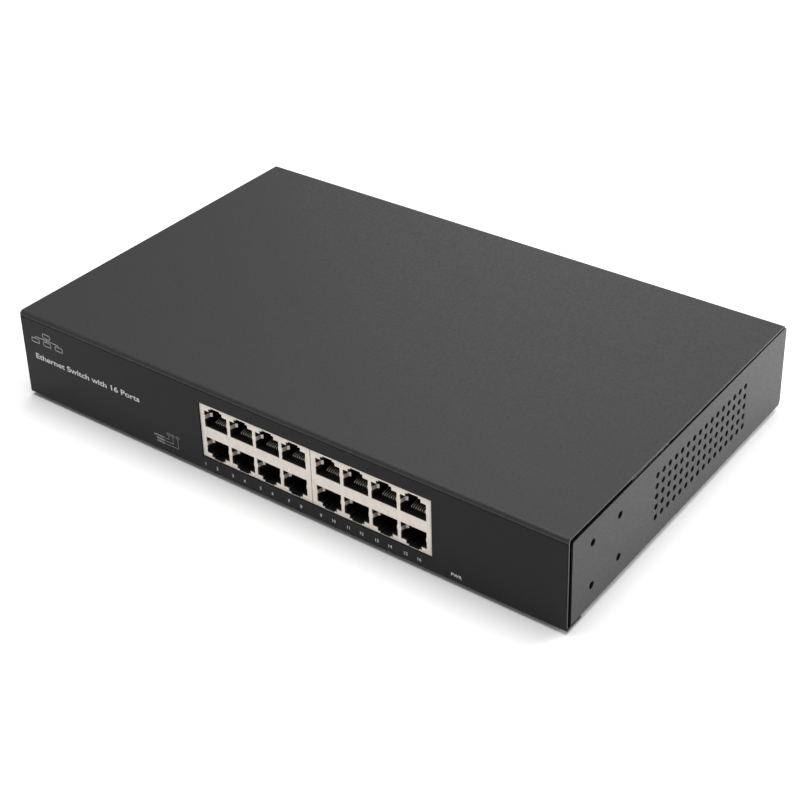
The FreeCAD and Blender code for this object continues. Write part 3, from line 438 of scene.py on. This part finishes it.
def text_mesh(text, height, x, z, align="LEFT", weight=0.0, width=None):
    """Raised print whose capitals are height tall and stand on z, drawn out to width if one is given."""
    curve = bpy.data.curves.new("text", "FONT")
    curve.body = text
    curve.size = height / CAPITAL_SHARE
    curve.align_x = align
    curve.extrude = INK_T / 2
    curve.offset = weight
    curve.resolution_u = 6
    holder = placed("text", curve)
    bpy.context.view_layer.update()
    stretch = 1.0
    if width:
        stretch = width / holder.dimensions.x
    mesh = baked(holder)
    upright = Quaternion((1, 0, 0), math.radians(90))
    mesh.transform(Matrix.LocRotScale((x, FRONT - INK_T / 2, z), upright, (stretch, 1, 1)))
    return mesh


def bar_mesh(points, width):
    """A flat line of a given width through (x, z) points, as print on the film."""
    work = bmesh.new()
    for (x_start, z_start), (x_end, z_end) in zip(points, points[1:]):
        start, end = Vector((x_start, 0, z_start)), Vector((x_end, 0, z_end))
        along = (end - start).normalized() * (width / 2)
        across = Vector((-along.z, 0, along.x))
        ring = [start - along - across, end + along - across, end + along + across, start - along + across]
        outer, inner = [[work.verts.new(corner + Vector((0, y, 0))) for corner in ring]
                        for y in (FRONT - INK_T, FRONT)]
        work.faces.new(outer)
        work.faces.new(inner[::-1])
        for this in range(4):
            following = (this + 1) % 4
            work.faces.new((outer[following], outer[this], inner[this], inner[following]))
    bmesh.ops.recalc_face_normals(work, faces=work.faces)
    mesh = bpy.data.meshes.new("bar")
    work.to_mesh(mesh)
    work.free()
    return mesh


def box_mesh(x, z, width, height, line):
    """The outline of an upright rectangle round (x, z), as print on the film."""
    corners = [(x + i * width / 2, z + j * height / 2) for i, j in CORNERS]
    return bar_mesh(corners + corners[:1], line)


def print_piece(name, meshes, material):
    """Several printed shapes as one piece."""
    work = bmesh.new()
    for mesh in meshes:
        work.from_mesh(mesh)
    whole = bpy.data.meshes.new(name)
    work.to_mesh(whole)
    work.free()
    return piece(name, whole, material)


# ---------------------------------------------------------------- port numbers, power mark and name
BANKS, COLUMNS, ROWS = 2, 4, 2
PRINT_Z = CASE_LOW + 3.0 * MM                   # foot of the port numbers
NUMBER_H = 1.5 * MM
NUMBER_FIRST = (-35.2 * MM, 27.4 * MM)          # first number under each jack block, at a port lamp
NUMBER_STEP = (15.25 * MM, 14.15 * MM)          # from one pair of numbers to the next, under each block
NUMBER_PAIR = 6.5 * MM
POWER_L = 5.0 * MM
NAME_X, NAME_Z = LEFT_EDGE + 6.7 * MM, CASE_LOW + 21 * MM
NAME_L, NAME_H = 64.3 * MM, 2.7 * MM


def port_numbers():
    """1 to 16 in pairs, one pair under each column of jacks."""
    numbers = []
    for bank in range(BANKS):
        for column in range(COLUMNS):
            for row in range(ROWS):
                number = (bank * COLUMNS + column) * ROWS + row + 1
                x = NUMBER_FIRST[bank] + column * NUMBER_STEP[bank] + row * NUMBER_PAIR
                numbers.append(text_mesh(str(number), NUMBER_H, x, PRINT_Z, "CENTER", 0.03 * MM))
    return numbers


def power_print():
    """The power mark under its lamp."""
    low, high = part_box("power_lamp")
    return [text_mesh("PWR", NUMBER_H, (low.x + high.x) / 2, PRINT_Z, "CENTER", 0.05 * MM, POWER_L)]


def name_print():
    """What the object is, in bold letters."""
    name = "Ethernet Switch with 16 Ports"
    return [text_mesh(name, NAME_H, NAME_X, NAME_Z, weight=0.07 * MM, width=NAME_L)]


print_piece("port_numbers", port_numbers(), LIGHT_INK)
print_piece("power_print", power_print(), LIGHT_INK)
print_piece("name_print", name_print(), LIGHT_INK)


# ---------------------------------------------------------------- network mark
MARK_X, MARK_Z = LEFT_EDGE + 15.6 * MM, CASE_LOW + 29.6 * MM
MARK_BOX_W, MARK_BOX_H, MARK_LINE = 4.6 * MM, 2.1 * MM, 0.4 * MM
MARK_REACH, MARK_RISE = 7.4 * MM, 4.1 * MM      # from the middle box to its neighbours and to the one above


def network_mark(x, z):
    """Plain sign of a network: one box linked to three below it, which stand on z."""
    low, high = z + MARK_BOX_H / 2, z + MARK_RISE + MARK_BOX_H / 2
    bus = (low + high) / 2
    across = [x - MARK_REACH, x, x + MARK_REACH]
    shapes = [box_mesh(x, high, MARK_BOX_W, MARK_BOX_H, MARK_LINE)]
    shapes += [box_mesh(middle, low, MARK_BOX_W, MARK_BOX_H, MARK_LINE) for middle in across]
    shapes.append(bar_mesh([(across[0], bus), (across[-1], bus)], MARK_LINE))
    shapes.append(bar_mesh([(x, bus), (x, z + MARK_RISE)], MARK_LINE))
    shapes += [bar_mesh([(middle, z + MARK_BOX_H), (middle, bus)], MARK_LINE) for middle in across]
    return shapes


print_piece("network_mark", network_mark(MARK_X, MARK_Z), GREY_INK)


# ---------------------------------------------------------------- lamp legend
LEGEND_X = LEFT_EDGE + 84.3 * MM                # right end of the words
LEGEND_Z = CASE_LOW + 4.9 * MM                  # middle of the lowest word
LEGEND_WORDS = (("STATUS", 4.4 * MM), ("SPEED", 4.6 * MM), ("ACTIVITY", 6.2 * MM))  # lowest first
LEGEND_TURNS = (8.0 * MM, 5.1 * MM, 2.7 * MM)   # from the words to where each line turns up
LEGEND_STEP, LEGEND_H = 1.45 * MM, 0.9 * MM
LEGEND_GAP, LEGEND_LINE = 0.5 * MM, 0.24 * MM
SIGN_UP, SIGN_W, SIGN_H = 5.7 * MM, 1.7 * MM, 1.0 * MM
SIGN_LINE, SIGN_GAP = 0.3 * MM, 0.9 * MM        # the gap is from a line's end to its sign's middle


def legend_words(x, z):
    """Three short words, ranged right."""
    words = []
    for row, (word, width) in enumerate(LEGEND_WORDS):
        foot = z + row * LEGEND_STEP - LEGEND_H / 2
        words.append(text_mesh(word, LEGEND_H, x, foot, "RIGHT", 0.03 * MM, width))
    return words


def legend_lines(x, z):
    """A line from each word that turns up to its small lamp sign."""
    shapes = []
    for row, turn in enumerate(LEGEND_TURNS):
        foot, sign_z = z + row * LEGEND_STEP, z + SIGN_UP
        route = [(x + LEGEND_GAP, foot), (x + turn, foot), (x + turn, sign_z - SIGN_GAP)]
        shapes.append(bar_mesh(route, LEGEND_LINE))
        shapes.append(box_mesh(x + turn, sign_z, SIGN_W, SIGN_H, SIGN_LINE))
    return shapes


print_piece("legend_words", legend_words(LEGEND_X, LEGEND_Z), GREY_INK)
print_piece("legend_lines", legend_lines(LEGEND_X, LEGEND_Z), DIM_INK)


# ---------------------------------------------------------------- camera
CAMERA_PLACE = (387.8 * MM, FRONT - 416.2 * MM, CASE_LOW + 425.3 * MM)
CAMERA_AZIMUTH, CAMERA_ELEVATION, CAMERA_ROLL = map(math.radians, (36.92, 28.33, -1.5))
CAMERA_SHIFT = (-0.01, -0.2)                    # in frame widths
FOCAL_SHARE = 1689 / 800                        # focal length over the frame's width
SENSOR = 36
CLIP_NEAR, CLIP_FAR = 0.01, 20


def add_camera():
    """The camera, above the front and to its right."""
    camera = placed("camera", bpy.data.cameras.new("camera"))
    camera.data.sensor_width = SENSOR
    camera.data.lens = SENSOR * FOCAL_SHARE
    camera.data.shift_x, camera.data.shift_y = CAMERA_SHIFT
    camera.data.clip_start, camera.data.clip_end = CLIP_NEAR, CLIP_FAR
    level = math.cos(CAMERA_ELEVATION)
    back = Vector((math.sin(CAMERA_AZIMUTH) * level, -math.cos(CAMERA_AZIMUTH) * level,
                   math.sin(CAMERA_ELEVATION)))
    camera.location = CAMERA_PLACE
    camera.rotation_mode = "QUATERNION"
    camera.rotation_quaternion = (-back).to_track_quat("-Z", "Y") @ Quaternion((0, 0, 1), CAMERA_ROLL)
    bpy.context.scene.camera = camera


add_camera()


# ---------------------------------------------------------------- floor, lights and backdrop
HALF_FLOOR = 4.0
FILL_STRENGTH = 0.36
WHITE = (1, 1, 1, 1)


def add_floor():
    """White paper floor."""
    mesh = bpy.data.meshes.new("floor")
    mesh.from_pydata([(i * HALF_FLOOR, j * HALF_FLOOR, 0) for i, j in CORNERS], [], [(0, 1, 2, 3)])
    mesh.materials.append(Shader("floor paper", (0.9, 0.9, 0.9), 0.9, Specular_IOR_Level=0.1).material)
    floor = placed("floor", mesh)


def softbox(name, place, aim, width, height, power):
    """A rectangular area light, its power in watts."""
    lamp = bpy.data.lights.new(name, "AREA")
    lamp.shape = "RECTANGLE"
    lamp.size, lamp.size_y = width, height
    lamp.energy = power
    holder = placed(name, lamp)
    holder.location = place
    holder.rotation_mode = "QUATERNION"
    holder.rotation_quaternion = (Vector(aim) - Vector(place)).to_track_quat("-Z", "Y")


def add_backdrop():
    """A world that is white where the camera sees it and dimmer as a light."""
    world = bpy.data.worlds.new("studio")
    world.use_nodes = True
    tree = world.node_tree
    fill = tree.nodes["Background"]
    fill.inputs["Color"].default_value = WHITE
    fill.inputs["Strength"].default_value = FILL_STRENGTH
    backdrop = tree.nodes.new("ShaderNodeBackground")
    backdrop.inputs["Color"].default_value = WHITE
    seen = tree.nodes.new("ShaderNodeMixShader")
    tree.links.new(tree.nodes.new("ShaderNodeLightPath").outputs["Is Camera Ray"], seen.inputs["Fac"])
    tree.links.new(fill.outputs["Background"], seen.inputs[1])
    tree.links.new(backdrop.outputs["Background"], seen.inputs[2])
    tree.links.new(seen.outputs["Shader"], tree.nodes["World Output"].inputs["Surface"])
    bpy.context.scene.world = world


add_floor()
softbox("overhead", place=(0, 0, 1.6), aim=(0, 0, 0), width=1.3, height=1.3, power=30)
softbox("right", place=(0.6, 0.85, 0.13), aim=(0.14, 0.03, 0.02), width=0.6, height=0.22, power=20)
softbox("back", place=(-0.5, 1.1, 0.6), aim=(0, 0.08, 0.04), width=0.7, height=0.4, power=1.8)
add_backdrop()
bpy.context.scene.view_settings.view_transform = "Standard"
